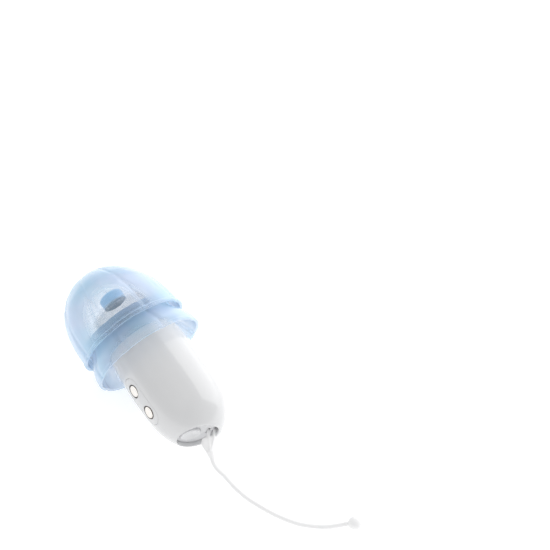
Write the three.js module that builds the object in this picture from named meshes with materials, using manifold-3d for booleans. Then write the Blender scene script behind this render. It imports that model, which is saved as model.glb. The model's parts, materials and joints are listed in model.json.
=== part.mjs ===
// A hand-held nasal aspirator that lies on its side: a glossy egg-shaped casing with a rechargeable suction pump
// inside, a collection cup and soft nose tip at its wide end, a two-tier translucent hood over them, and a soft
// tail on its slanted base.
//
// Units are millimetres. The object is drawn along its own axis, +Z from the base to the top of the hood, with +X
// towards the charging contacts. Groups at the end lay it on the ground plane Z = 0, where the rim of the hood and
// the flank of the casing touch it.
import * as THREE from "three";
import { mergeVertices } from "three/addons/utils/BufferGeometryUtils.js";
import Module from "manifold-3d";

const wasm = await Module();
wasm.setup();

// ---- Driving dimensions -------------------------------------------------------------------------------------

const gap = 0.3; // between pieces that lie close together
const slip = 0.15; // between a piece and the hole or seat it fits

const casing = {
  radius: 19.75,
  widestZ: 34, // where the casing is widest
  noseLength: 37, // from there to the tip that the slanted base cuts off
  noseFullness: 3.2, // a higher number gives a blunter nose
  taper: 0.0028, // how fast the radius falls above the widest place
  topZ: 66,
  wall: 1.8,
};

const base = {
  tilt: THREE.MathUtils.degToRad(19),
  axisZ: 0.4, // where the slanted face crosses the axis
  centre: 5.2, // the recess's centre, along the slanted face towards the contacts
  recessRadius: 10.4,
  recessDepth: 2.2,
  capThick: 1.8,
  ledge: 0.8,
  collarDepth: 6, // solid nose round the recess
};

const button = { centre: 8.6, radius: 5.2, front: 0.8, dish: 0.9, flange: 0.7, flangeThick: 0.8, travel: 0.5 };

const tail = { bar: -2.4, barWidth: 1.4, strand: 1.1, halfWidth: 1.8, slotHalf: 2.6, cord: 2.4, ball: 7 };

const contact = { radius: 3, ring: 0.5, lowerZ: 23.7, upperZ: 36.5, thick: 1.2, stem: 1.1 };

const pad = { halfWidth: 5, halfLength: 13.2, thick: 1 };

const hood = {
  gores: 8,
  crease: 0.5, // how deep the creases between the gores are
  wall: 1.6,
  domeRadius: 27.8,
  domeHeight: 37.6,
  lipZ: 62.8,
  lipRadius: 28.4,
  crownZ: 89.5, // the step round the crown
  crownStep: 0.5,
  rimZ: 49.6,
  rimRadius: 28.8,
  waistRadius: 23.4,
  shelfZ: 67,
  shelfThick: 1.4,
  collarZ: 58,
  collarWall: 1,
  rimLean: 0.7, // the soft hood leans this far towards the contacts at its rim
  leanRise: 0.08, // and this much more for each millimetre above the rim
  leanTopZ: 95, // up to here
  fullness: 2.25, // 2 gives an elliptic dome, and more a blunter one
};

const cup = { baseRadius: 16.6, wall: 1.4, shoulderZ: 76, neckRadius: 5, neckZ: 81, spigotZ: 64.9 };

const nose = { radius: 5.6, bore: 1.6, topZ: 87.5 };

const deck = { z: 62, thick: 2, boss: 4, hole: 1.5, bossZ: 66, nipple: 3, sealHeight: 1.2, sealWidth: 1.3, edgeSeal: 2.6 };

const guard = { space: 1, roof: 1.2, wall: 1.4, window: 1.6 };

const battery = { radius: 7, length: 25, z: 18.5, x: -10.1 };

const motor = { screwY: 4.6, radius: 7.75, length: 20, wall: 0.7, x: 4.9, shaft: 1, armature: 5, capThick: 2.6 };

const bracket = { z: 44.5, thick: 1.5, shaftHole: 2.4, leadHole: 2, leadY: 13 };

const pump = { z: 53, radius: 5.2, halfWidth: 6.2, crank: 1.2, diaphragmX: -6.4, screwInset: 1.2, screwZ: 4.8 };

const board = { x: 13.4, thick: 1.2, halfWidth: 8, lowZ: 17, highZ: 42.5 };

const buttonBoard = { halfLength: 8.6, start: 0.6, end: 13, depth: 8.7, thick: 1.2, post: 1.4, postX: 3, postY: 6.6 };

const screw = { radius: 0.7, head: 1.4, headThick: 1 };

const lead = 0.5; // radius of the insulated leads

// How far the object is rolled about its axis as it lies: the contacts face sideways and a little up.
const roll = THREE.MathUtils.degToRad(-80.3);

// The tail's route from the end of its root down to the ground and along it, a list chosen by hand.
const tailRoute = [
  [57.2, -2.95, 5.15],
  [58.95, -2.95, 4.1],
  [61.35, -2.55, 3.1],
  [64.75, -1.75, 2.2],
  [68.75, -1.55, 1.6],
  [76.05, -0.95, 1.25],
  [82.65, 0.25, 1.2],
  [88.25, 1.95, 1.2],
  [93.75, 3.85, 1.2],
  [98.95, 6.05, 1.2],
  [103.55, 8.45, 1.2],
  [107.65, 11.15, 1.2],
  [111.25, 14.35, 1.2],
  [114.45, 17.85, 1.25],
  [117.25, 21.45, 1.5],
  [119.75, 25.35, 2.2],
  [121.65, 28.35, 3],
];
const ballCentre = [123.75, 31.45, 3.5];

// ---- Shapes -------------------------------------------------------------------------------------------------

// A closed geometry as a solid that can be joined and cut.
function solid(geometry) {
  if (!geometry.isBufferGeometry) return geometry;
  const bare = geometry.clone();
  bare.deleteAttribute("normal");
  bare.deleteAttribute("uv");
  const merged = mergeVertices(bare, 1e-4);
  const triangles = [];
  const index = merged.index.array;
  for (let i = 0; i < index.length; i += 3) {
    const [a, b, c] = index.subarray(i, i + 3);
    if (a !== b && b !== c && c !== a) triangles.push(a, b, c);
  }
  const build = () =>
    new wasm.Manifold(
      new wasm.Mesh({
        numProp: 3,
        vertProperties: merged.attributes.position.array,
        triVerts: new Uint32Array(triangles),
      }),
    );
  const made = build();
  if (made.volume() > 0) return made;
  for (let i = 0; i < triangles.length; i += 3)
    [triangles[i + 1], triangles[i + 2]] = [triangles[i + 2], triangles[i + 1]];
  return build();
}

const join = (...shapes) => shapes.map(solid).reduce((a, b) => a.add(b));
const cut = (from, ...tools) => tools.map(solid).reduce((a, b) => a.subtract(b), solid(from));
const common = (...shapes) => shapes.map(solid).reduce((a, b) => a.intersect(b));

// A solid as a geometry for a mesh.
function geometryOf(shape) {
  const { vertProperties, triVerts } = solid(shape).getMesh();
  const geometry = new THREE.BufferGeometry();
  geometry.setAttribute("position", new THREE.BufferAttribute(vertProperties, 3));
  geometry.setIndex(new THREE.BufferAttribute(triVerts, 1));
  geometry.computeVertexNormals();
  return geometry;
}

// An outline of [radius, z] points turned about Z.
function turned(outline, segments = 32) {
  const points = [...outline, outline[0]].map(([r, z]) => new THREE.Vector2(r, z));
  return new THREE.LatheGeometry(points, segments).rotateX(Math.PI / 2).rotateZ(Math.PI / 2);
}

function disc(radius, z0, z1, x = 0, y = 0, segments = 24) {
  return new THREE.CylinderGeometry(radius, radius, z1 - z0, segments)
    .rotateX(Math.PI / 2)
    .translate(x, y, (z0 + z1) / 2);
}

function discAlongX(radius, x0, x1, y, z, segments = 20) {
  return new THREE.CylinderGeometry(radius, radius, x1 - x0, segments)
    .rotateZ(Math.PI / 2)
    .translate((x0 + x1) / 2, y, z);
}

function box(x0, x1, y0, y1, z0, z1) {
  return new THREE.BoxGeometry(x1 - x0, y1 - y0, z1 - z0).translate((x0 + x1) / 2, (y0 + y1) / 2, (z0 + z1) / 2);
}

// A round lead, hose or cord through a list of points; bore makes it hollow.
function tube(points, radius, steps, sides = 8, bore = 0) {
  const section = new THREE.Shape().absarc(0, 0, radius, 0, 2 * Math.PI);
  if (bore) section.holes.push(new THREE.Path().absarc(0, 0, bore, 0, 2 * Math.PI));
  const extrudePath = new THREE.CatmullRomCurve3(points.map((p) => new THREE.Vector3(...p)));
  return new THREE.ExtrudeGeometry(section, { steps, curveSegments: sides, bevelEnabled: false, extrudePath });
}

// ---- Materials ----------------------------------------------------------------------------------------------

const finish = (color, roughness, metalness = 0, extra = {}) =>
  new THREE.MeshStandardMaterial({ color, roughness, metalness, ...extra });

const materials = {
  shell: finish(0xf2f2f4, 0.18),
  hood: finish(0xc4dcf2, 0.15, 0, { transparent: true, opacity: 0.6 }),
  milky: finish(0xf4f4f4, 0.45),
  clear: finish(0xeef2f5, 0.1, 0, { transparent: true, opacity: 0.5 }),
  rubber: finish(0x4a423c, 0.7),
  contact: finish(0xf0ebe4, 0.2, 1),
  steel: finish(0xb8bcc0, 0.35, 1),
  plastic: finish(0x3a3c40, 0.5),
  board: finish(0x1f6b45, 0.5),
  copper: finish(0xb87333, 0.4, 1),
  cell: finish(0x3c6ea8, 0.4),
  red: finish(0xb03028, 0.5),
  black: finish(0x202022, 0.5),
};

// ---- Casing and base ----------------------------------------------------------------------------------------

// The casing's radius at a height, or the radius of the surface that far inside it.
function casingRadius(z, inset = 0) {
  const radius = casing.radius - inset;
  if (z >= casing.widestZ) return radius - casing.taper * (z - casing.widestZ) ** 2;
  const along = (casing.widestZ - z) / (casing.noseLength - inset);
  return radius * Math.sqrt(Math.max(0, 1 - along ** casing.noseFullness));
}

// The egg that the casing is cut from, that far inside its surface, up to topZ.
function egg(inset = 0, topZ = casing.topZ) {
  const rings = 7;
  const outline = [];
  for (let i = 0; i <= rings; i++) {
    const z = casing.widestZ - (casing.noseLength - inset) * Math.cos((i / rings) * (Math.PI / 2));
    outline.push([casingRadius(z, inset), z]);
  }
  const upper = 3;
  for (let i = 1; i <= upper; i++) {
    const z = casing.widestZ + ((topZ - casing.widestZ) * i) / upper;
    outline.push([casingRadius(z, inset), z]);
  }
  outline.push([0, topZ]);
  return turned(outline, 48);
}

// Pieces of the base are drawn with their Z square to the slanted face, pointing into the casing.
const slant = new THREE.Matrix4()
  .makeRotationY(-base.tilt)
  .premultiply(new THREE.Matrix4().makeTranslation(0, 0, base.axisZ));
const slanted = (geometry) => geometry.applyMatrix4(slant);

const stadium = (halfWidth, halfLength, x0, x1) => {
  const straight = halfLength - halfWidth;
  const outline = new THREE.Shape()
    .absarc(0, straight, halfWidth, 0, Math.PI)
    .absarc(0, -straight, halfWidth, Math.PI, 2 * Math.PI);
  return new THREE.ExtrudeGeometry(outline, { depth: x1 - x0, bevelEnabled: false, curveSegments: 10 })
    .rotateX(Math.PI / 2)
    .rotateZ(Math.PI / 2)
    .translate(x0, 0, (contact.lowerZ + contact.upperZ) / 2);
};

const contactFace = casing.radius - 0.2; // the contacts stand just below the pad's surface
const far = 3 * casing.radius;

function mainCasing() {
  const nose = slanted(box(-far, far, -far, far, 0, 2 * casing.topZ));
  const hollow = common(
    egg(casing.wall, casing.topZ + casing.wall),
    slanted(box(-far, far, -far, far, base.collarDepth, 2 * casing.topZ)),
  );
  const ledgeRadius = base.recessRadius - base.ledge;
  const seatDepth = base.recessDepth + base.capThick + slip;
  const padPocket = common(
    cut(egg(-casing.wall), egg(pad.thick + slip)),
    stadium(pad.halfWidth + slip, pad.halfLength + slip, casing.radius / 2, far),
  );
  return cut(
    join(cut(common(egg(), nose), hollow), ledgeRing(bracket.z), ledgeRing(deck.z)),
    slanted(disc(base.recessRadius, -casing.radius, seatDepth, base.centre, 0, 48)),
    slanted(disc(ledgeRadius, seatDepth - gap, base.collarDepth + casing.radius / 4, base.centre, 0, 32)),
    slanted(
      box(
        tail.bar - tail.barWidth / 2 - tail.strand - 2 * gap,
        0,
        -tail.slotHalf,
        tail.slotHalf,
        seatDepth - gap,
        base.collarDepth + casing.radius / 4,
      ),
    ),
    padPocket,
    ...[contact.lowerZ, contact.upperZ].map((z) =>
      discAlongX(contact.radius + contact.ring + slip, casing.radius / 2, far, 0, z),
    ),
  );
}

// A ring inside the casing that a plate rests on, its top slightly under the plate.
function ledgeRing(plateZ) {
  const top = plateZ - slip;
  const bottom = top - 0.8;
  const inner = casingRadius(top, casing.wall) - 1.2;
  const outer = Math.min(casingRadius(top, casing.wall), casingRadius(bottom, casing.wall)) + casing.wall / 2;
  return turned([[inner, bottom], [outer, bottom], [outer, top], [inner, top]], 48);
}

function baseCap() {
  const front = base.recessDepth;
  const back = front + base.capThick;
  const slotInner = tail.bar + tail.barWidth / 2;
  const slotOuter = tail.bar - tail.barWidth / 2;
  const { post, postX, postY, depth } = buttonBoard;
  const postAt = (side) =>
    cut(
      disc(post, back - gap, depth - slip, postX, side * postY, 16),
      disc(screw.radius + slip, back + gap, depth, postX, side * postY, 12),
    );
  return join(
    cut(
      disc(base.recessRadius - slip, front, back, base.centre, 0, 48),
      disc(button.radius + slip, 0, back + 1, button.centre, 0, 32),
      box(slotInner, slotInner + tail.strand + 2 * gap, -tail.slotHalf, tail.slotHalf, 0, back + 1),
      box(-casing.radius, slotOuter, -tail.slotHalf, tail.slotHalf, 0, back + 1),
    ),
    postAt(1),
    postAt(-1),
  );
}

// ---- Button -------------------------------------------------------------------------------------------------

function powerButton() {
  const { radius, front, dish, flange, flangeThick } = button;
  const back = base.recessDepth + base.capThick + slip;
  const steps = 3;
  const face = [];
  for (let i = 0; i <= steps; i++) {
    const share = i / steps;
    face.push([share * (radius - 0.6), front + dish * (1 - share ** 2)]);
  }
  return turned(
    [
      ...face,
      [radius, front + 0.4],
      [radius, back],
      [radius + flange, back],
      [radius + flange, back + flangeThick],
      [1.5, back + flangeThick],
      [1.5, back + flangeThick + 0.5],
      [0, back + flangeThick + 0.5],
    ],
    24,
  ).translate(button.centre, 0, 0);
}

// The stem of the button ends here; the switch's plunger starts a hair further in.
const plungerZ = base.recessDepth + base.capThick + slip + button.flangeThick + 0.5 + 0.1;

const plungerRadius = 1.6;
const plungerTop = plungerZ + 1.7;

const switchPlunger = () => disc(plungerRadius, plungerZ, plungerTop, button.centre, 0, 16);

function tactSwitch() {
  const half = 2.7;
  const top = plungerZ + button.travel + slip;
  return cut(
    box(button.centre - half, button.centre + half, -half, half, top, buttonBoard.depth - slip),
    disc(plungerRadius + slip, 0, buttonBoard.depth - 2 * slip, button.centre, 0, 16),
  );
}

const snapDome = () =>
  disc(1.5, plungerTop + button.travel + 0.1, buttonBoard.depth - 2.5 * slip, button.centre, 0, 16);

function buttonBoardPlate() {
  const { start, end, halfLength, depth, thick, postX, postY } = buttonBoard;
  const hole = (side) => disc(screw.radius + slip, 0, 2 * depth, postX, side * postY, 12);
  const plate = box(start, end, -halfLength, halfLength, depth, depth + thick);
  return cut(plate, hole(1), hole(-1));
}

// A screw along +Z with its head on top of seatZ.
const screwShape = (seatZ, length, x, y) =>
  join(
    disc(screw.radius, seatZ - length, seatZ + gap, x, y, 8),
    disc(screw.head, seatZ, seatZ + screw.headThick, x, y, 10),
  );

// ---- Charging contacts --------------------------------------------------------------------------------------

const chargePad = () =>
  cut(
    common(cut(egg(), egg(pad.thick)), stadium(pad.halfWidth, pad.halfLength, casing.radius / 2, far)),
    ...[contact.lowerZ, contact.upperZ].map((z) =>
      discAlongX(contact.radius + contact.ring + slip, casing.radius / 2, far, 0, z),
    ),
  );

const chargeContact = (z) =>
  join(
    discAlongX(contact.radius, contactFace - contact.thick, contactFace, 0, z, 24),
    discAlongX(contact.stem, board.x + board.thick + slip, contactFace - contact.thick + gap, 0, z, 12),
  );

const contactGasket = (z) =>
  cut(
    discAlongX(contact.radius + contact.ring, contactFace - contact.thick - 0.5, contactFace - 0.1, 0, z, 24),
    discAlongX(contact.radius + 0.06, contactFace - contact.thick - 1, contactFace + 1, 0, z, 24),
  );

const chargeMagnet = () => {
  const middle = (contact.lowerZ + contact.upperZ) / 2;
  return box(board.x + board.thick + gap, board.x + board.thick + 2.4, -3.5, 3.5, middle - 3, middle + 3);
};

const controlBoard = () =>
  box(board.x, board.x + board.thick, -board.halfWidth, board.halfWidth, board.lowZ, board.highZ);

// ---- Battery and motor --------------------------------------------------------------------------------------

const batteryCell = () =>
  turned(
    [
      [0, battery.z],
      [battery.radius - 0.5, battery.z],
      [battery.radius, battery.z + 0.5],
      [battery.radius, battery.z + battery.length - 1.2],
      [battery.radius - 0.7, battery.z + battery.length - 0.7],
      [2.4, battery.z + battery.length - 0.7],
      [2.4, battery.z + battery.length],
      [0, battery.z + battery.length],
    ],
    28,
  ).translate(battery.x, 0, 0);

const motorTop = bracket.z - slip;
const motorBottom = motorTop - motor.length;

const motorCan = () =>
  cut(
    disc(motor.radius, motorBottom, motorTop, motor.x, 0, 28),
    disc(motor.radius - motor.wall, motorBottom - 1, motorTop - motor.wall, motor.x, 0, 28),
    disc(motor.shaft + slip, motorTop - 2, motorTop + 1, motor.x, 0, 16),
    ...[1, -1].map((side) => disc(screw.radius + slip, motorTop - 2, motorTop + 1, motor.x, side * motor.screwY, 12)),
  );

const motorEndCap = () =>
  cut(
    join(
      disc(motor.radius, motorBottom - motor.capThick - slip, motorBottom - slip, motor.x, 0, 28),
      disc(motor.radius - motor.wall - slip, motorBottom - gap, motorBottom + 0.8, motor.x, 0, 28),
    ),
    disc(motor.shaft + slip, motorBottom - 1.5, motorBottom + 1, motor.x, 0, 16),
  );

const armatureBottom = motorBottom + 2;
const armatureTop = motorTop - motor.wall - 2.6;

const motorMagnet = (side) => {
  const outer = motor.radius - motor.wall - slip;
  const shell = cut(
    disc(outer, armatureBottom, armatureTop, motor.x, 0, 28),
    disc(motor.armature + 0.4, armatureBottom - 1, armatureTop + 1, motor.x, 0, 28),
  );
  const halfWidth = 4.4;
  return common(
    shell,
    side > 0
      ? box(motor.x - halfWidth, motor.x + halfWidth, 2, far, armatureBottom, armatureTop)
      : box(motor.x - halfWidth, motor.x + halfWidth, -far, -2, armatureBottom, armatureTop),
  );
};

const crankZ = { bottom: pump.z - 2, top: pump.z + 2 };

const motorShaft = () => disc(motor.shaft, motorBottom - 1.2, crankZ.top + 1, motor.x, 0, 16);

const motorArmature = () =>
  cut(
    disc(motor.armature, armatureBottom, armatureTop, motor.x, 0, 24),
    disc(motor.shaft + 0.05, 0, far, motor.x, 0, 16),
  );

const eccentricCam = () =>
  cut(
    disc(3.2, crankZ.bottom, crankZ.top, motor.x - pump.crank, 0, 24),
    disc(motor.shaft + 0.05, 0, far, motor.x, 0, 16),
  );

// ---- Pump ---------------------------------------------------------------------------------------------------

function pumpBracket() {
  const { z, thick } = bracket;
  const radius = casingRadius(z, casing.wall) - gap;
  const blockX = pump.diaphragmX - 1;
  return cut(
    join(
      disc(radius, z, z + thick, 0, 0, 48),
      box(blockX - 6.6, blockX - slip, -pump.halfWidth, pump.halfWidth, z + thick - gap, pump.z - pump.radius - 1),
    ),
    disc(bracket.shaftHole, 0, far, motor.x, 0, 20),
    ...[1, -1].map((side) => disc(screw.radius + slip, 0, far, motor.x, side * motor.screwY, 12)),
    ...[1, -1].map((side) => disc(bracket.leadHole, 0, far, -1, side * bracket.leadY, 12)),
  );
}

const bearingRadius = { inner: 3.35, outer: 4.6 };

const crankBearing = () =>
  cut(
    disc(bearingRadius.outer, crankZ.bottom + 0.5, crankZ.top - 0.5, motor.x - pump.crank, 0, 24),
    disc(bearingRadius.inner, 0, far, motor.x - pump.crank, 0, 24),
  );

function connectingRod() {
  const x = motor.x - pump.crank;
  const low = crankZ.bottom + 0.5;
  const high = crankZ.top - 0.5;
  const end = pump.diaphragmX + 1.2;
  return cut(
    join(
      disc(bearingRadius.outer + 1.3, low, high, x, 0, 24),
      box(end, x - bearingRadius.outer, -1.5, 1.5, low, high),
      discAlongX(2.4, end, end + 1, 0, pump.z, 16),
    ),
    disc(bearingRadius.outer + 0.06, 0, far, x, 0, 24),
  );
}

// Pieces of the pump stack up along -X from the diaphragm.
const stack = (() => {
  const block = pump.diaphragmX - 1.2;
  const valves = block - 3.4;
  const cover = valves - 0.9;
  return { block, valves, cover, end: cover - 1.6 };
})();

const pumpFace = (x0, x1) =>
  box(x0, x1, -pump.halfWidth, pump.halfWidth, pump.z - pump.radius - 0.8, pump.z + pump.radius + 0.8);

const pumpScrewY = pump.halfWidth - pump.screwInset;

const pumpScrewHoles = () =>
  [1, -1].flatMap((y) =>
    [1, -1].map((z) =>
      discAlongX(screw.radius + slip, -far, 0, y * pumpScrewY, pump.z + z * pump.screwZ, 12),
    ),
  );

const portY = 2.3; // the inlet and outlet are this far to either side of the pump's middle

const diaphragm = () =>
  join(
    discAlongX(pump.radius, pump.diaphragmX - 0.8, pump.diaphragmX, 0, pump.z, 24),
    discAlongX(1.8, pump.diaphragmX - gap, pump.diaphragmX + 1.1, 0, pump.z, 16),
  );

const pumpBlock = () =>
  cut(
    pumpFace(stack.valves + slip, stack.block),
    discAlongX(pump.radius - 1, stack.block - 1.6, 0, 0, pump.z, 24),
    discAlongX(0.9, -far, 0, portY, pump.z, 12),
    discAlongX(0.9, -far, 0, -portY, pump.z, 12),
    ...pumpScrewHoles(),
  );

const valvePlate = () =>
  cut(
    pumpFace(stack.cover + slip, stack.valves),
    discAlongX(1.7, -far, 0, portY, pump.z, 16),
    discAlongX(1.7, -far, 0, -portY, pump.z, 16),
    ...pumpScrewHoles(),
  );

const valveFlap = (y) => discAlongX(1.5, stack.cover + slip + 0.1, stack.valves - 0.15, y, pump.z, 16);

const nipple = { x: (stack.end + stack.cover) / 2, radius: 0.8, reach: 1.6 };

function pumpCover() {
  const spout = new THREE.CylinderGeometry(nipple.radius, nipple.radius, nipple.reach + gap, 12).translate(
    nipple.x,
    pump.halfWidth + (nipple.reach - gap) / 2,
    pump.z,
  );
  return cut(
    join(pumpFace(stack.end, stack.cover), spout),
    discAlongX(0.9, (stack.end + stack.cover) / 2, 0, portY, pump.z, 12),
    discAlongX(0.9, (stack.end + stack.cover) / 2, 0, -portY, pump.z, 12),
    ...pumpScrewHoles(),
  );
}

const pumpScrew = (y, z) =>
  join(
    discAlongX(screw.radius, stack.end - gap, stack.block - 0.4, y, z, 8),
    discAlongX(screw.head, stack.end - 0.8, stack.end - slip, y, z, 10),
  );

// ---- Deck, cup and nose tip ---------------------------------------------------------------------------------

function topDeck() {
  const { z, thick, boss, hole, bossZ } = deck;
  const radius = casingRadius(z + thick, casing.wall) - gap;
  return cut(
    join(
      disc(radius, z, z + thick, 0, 0, 48),
      disc(boss, z, bossZ, 0, 0, 24),
      disc(2.6, z - deck.nipple, z + gap, 0, 0, 20),
    ),
    disc(hole, z - deck.nipple - 1, bossZ + 1, 0, 0, 16),
  );
}

const cupSeal = () => {
  const outer = casingRadius(casing.topZ, casing.wall) - gap;
  const low = deck.z + deck.thick + 0.05;
  const inner = outer - deck.edgeSeal;
  const high = cup.spigotZ - 0.05;
  return turned([[inner, low], [outer, low], [outer, high], [inner, high]], 32);
};

const deckSeal = () => {
  const low = deck.z + deck.thick + 0.05;
  const high = low + deck.sealHeight;
  const inner = deck.boss + 0.1;
  const outer = inner + deck.sealWidth;
  return turned([[inner, low], [outer, low], [outer, high], [inner, high]], 24);
};

function collectionCup() {
  const seat = casing.topZ + gap;
  const spigot = casingRadius(casing.topZ, casing.wall) - gap;
  const { baseRadius, wall, shoulderZ, neckRadius, neckZ, spigotZ } = cup;
  const steps = 4;
  const dome = (radius, neck, top) =>
    Array.from({ length: steps + 1 }, (_, i) => {
      const turn = (i / steps) * (Math.PI / 2);
      return [neck + (radius - neck) * Math.cos(turn), shoulderZ + (top - shoulderZ) * Math.sin(turn)];
    });
  return turned(
    [
      [spigot, spigotZ],
      [spigot, seat],
      [baseRadius, seat],
      [baseRadius, shoulderZ - 4],
      ...dome(baseRadius - 0.6, neckRadius, neckZ),
      [neckRadius, neckZ + 2],
      [neckRadius - wall, neckZ + 2],
      ...dome(baseRadius - 0.6 - wall, neckRadius - wall, neckZ - wall).reverse(),
      [baseRadius - wall, shoulderZ - 4],
      [spigot - wall, seat + wall],
      [spigot - wall, spigotZ],
    ],
    28,
  );
}

function splashGuard() {
  const ceiling = deck.bossZ + guard.space + guard.roof;
  const roof = ceiling + guard.roof;
  const inner = deck.boss + 2 * gap;
  const outer = inner + guard.wall;
  const skirtZ = deck.z + deck.thick + deck.sealHeight + 2 * gap;
  const window = () => box(-guard.window, guard.window, -far, far, skirtZ + 2 * gap, ceiling - 2 * gap);
  return cut(
    turned(
      [[0, ceiling], [inner, ceiling], [inner, skirtZ], [outer, skirtZ], [outer, roof], [0, roof]],
      24,
    ),
    window(),
    window().rotateZ(Math.PI / 2),
  );
}

function noseTip() {
  const inner = cup.neckRadius + slip;
  const low = cup.neckZ + gap;
  const middle = (cup.neckZ + 2 + nose.topZ) / 2;
  const bulb = (radius) =>
    [0.15, 0.4, 0.65, 0.85, 1].map((share) => {
      const turn = share * (Math.PI / 2);
      return [nose.bore + (radius - nose.bore) * Math.cos(turn), middle + (nose.topZ - middle) * Math.sin(turn)];
    });
  return turned(
    [
      [inner, low],
      [inner + 0.9, low],
      [nose.radius + 0.6, middle - 1.4],
      ...bulb(nose.radius + 0.6),
      [nose.bore, cup.neckZ + 2 + gap],
      [inner, cup.neckZ + 2 + gap],
    ],
    20,
  );
}

const suctionHose = () => {
  const side = pump.halfWidth + nipple.reach + gap;
  const top = deck.z - deck.nipple - gap;
  return tube(
    [
      [nipple.x, side, pump.z],
      [nipple.x, side + 0.8, pump.z],
      [nipple.x + 2, side + 1.5, pump.z + 2],
      [pump.diaphragmX, side, top - 1.2],
      [-1.5, 3, top - 1.2],
      [0, 0.4, top - 0.5],
      [0, 0, top],
    ],
    nipple.radius,
    12,
    6,
    nipple.radius / 2,
  );
};

// ---- Hood ---------------------------------------------------------------------------------------------------

const segmentsPerGore = 6;

// How far the hood leans towards the contacts at a height.
const lean = (z) => hood.rimLean + hood.leanRise * (Math.min(z, hood.leanTopZ) - hood.rimZ);

// An outline turned about Z, pulled in along the creases between the gores. One crease lies towards the contacts.
// What is nearer the axis than fixedRadius doesn't lean.
function gored(outline, fixedRadius = 0) {
  const geometry = turned(outline, hood.gores * segmentsPerGore);
  const place = geometry.attributes.position;
  const step = (2 * Math.PI) / hood.gores;
  for (let i = 0; i < place.count; i++) {
    const x = place.getX(i);
    const y = place.getY(i);
    const radius = Math.hypot(x, y);
    const turn = Math.atan2(y, x) / step;
    const onCrease = Math.abs(turn - Math.round(turn)) < 0.5 / segmentsPerGore;
    const creased = onCrease && radius > hood.waistRadius - hood.wall - hood.crease;
    const scale = creased ? 1 - hood.crease / radius : 1;
    place.setX(i, x * scale + (radius < fixedRadius ? 0 : lean(place.getZ(i))));
    place.setY(i, y * scale);
  }
  return geometry;
}

// The dome's radius at a height, that far inside its surface.
function domeRadius(z, inset = 0) {
  const up = Math.min(1, Math.max(0, (z - hood.lipZ) / (hood.domeHeight - inset * 1.6)));
  return (hood.domeRadius - inset) * (1 - up ** hood.fullness) ** (1 / hood.fullness);
}

function hoodDome() {
  const { lipZ, lipRadius, domeHeight, wall, crownZ, crownStep } = hood;
  const outer = [[lipRadius - wall, lipZ - 1], [lipRadius, lipZ - 0.8], [lipRadius, lipZ + 0.4]];
  const rings = 6;
  const crownTurn = Math.asin((crownZ - lipZ) / domeHeight);
  for (let i = 1; i <= rings; i++) {
    const z = lipZ + domeHeight * Math.sin((i / rings) * crownTurn);
    outer.push([domeRadius(z), z]);
  }
  const crownRings = 3;
  for (let i = 0; i <= crownRings; i++) {
    const turn = crownTurn + (i / crownRings) * (Math.PI / 2 - crownTurn);
    const z = lipZ + domeHeight * Math.sin(turn);
    outer.push([Math.max(0, domeRadius(z) - crownStep * (1 - i / crownRings)), z]);
  }
  const inner = [];
  const innerHeight = domeHeight - 1.6 * wall;
  const innerRings = 6;
  for (let i = innerRings; i >= 0; i--) {
    const z = lipZ + innerHeight * Math.sin((i / innerRings) * (Math.PI / 2));
    inner.push([domeRadius(z, wall), z]);
  }
  return gored([...outer, ...inner]);
}

function hoodSkirt() {
  const { rimZ, rimRadius, waistRadius, lipZ, wall, shelfZ, shelfThick, collarZ, collarWall } = hood;
  const bell = (inset) =>
    Array.from({ length: 5 }, (_, i) => {
      const share = i / 4;
      const z = rimZ + 1.6 + (lipZ + 1 - rimZ - 1.6) * share;
      const flare = Math.cos(share * (Math.PI / 2)) ** 1.2;
      return [waistRadius + (rimRadius - 0.1 - waistRadius) * flare - inset, z];
    });
  const top = shelfZ + shelfThick;
  const joint = domeRadius(top, wall) - gap - hood.crease;
  const collar = casingRadius(collarZ) + slip;
  return gored([
    [rimRadius - wall, rimZ + 0.3],
    [rimRadius - 0.5, rimZ],
    [rimRadius, rimZ + 0.6],
    ...bell(0),
    [waistRadius, shelfZ],
    [joint, top],
    [joint - wall, top + 0.3],
    [waistRadius - wall, top],
    [collar, top],
    [collar, collarZ],
    [collar + collarWall, collarZ],
    [collar + collarWall, shelfZ],
    [waistRadius - wall, shelfZ],
    ...bell(wall).reverse(),
  ], collar + collarWall + slip);
}

// ---- Tail ---------------------------------------------------------------------------------------------------

// A closed strip through sections of [place, half width along X, half thickness], each an ellipse.
function strip(sections, sides = 12) {
  const places = sections.map(([place]) => new THREE.Vector3(...place));
  const across = new THREE.Vector3(1, 0, 0);
  const points = [];
  sections.forEach(([, halfWidth, halfThick], i) => {
    const before = places[Math.max(0, i - 1)];
    const after = places[Math.min(places.length - 1, i + 1)];
    const up = after.clone().sub(before).cross(across).normalize();
    for (let k = 0; k < sides; k++) {
      const turn = (2 * Math.PI * k) / sides;
      points.push(
        places[i]
          .clone()
          .addScaledVector(across, halfWidth * Math.cos(turn))
          .addScaledVector(up, halfThick * Math.sin(turn)),
      );
    }
  });
  const last = points.length - sides;
  points.push(places[0], places[places.length - 1]);
  const index = [];
  for (let i = 0; i < sections.length - 1; i++)
    for (let k = 0; k < sides; k++) {
      const a = i * sides + k;
      const b = i * sides + ((k + 1) % sides);
      index.push(a, b, b + sides, a, b + sides, a + sides);
    }
  for (let k = 0; k < sides; k++) {
    const next = (k + 1) % sides;
    index.push(points.length - 2, next, k, points.length - 1, last + k, last + next);
  }
  return new THREE.BufferGeometry().setFromPoints(points).setIndex(index);
}

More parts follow.
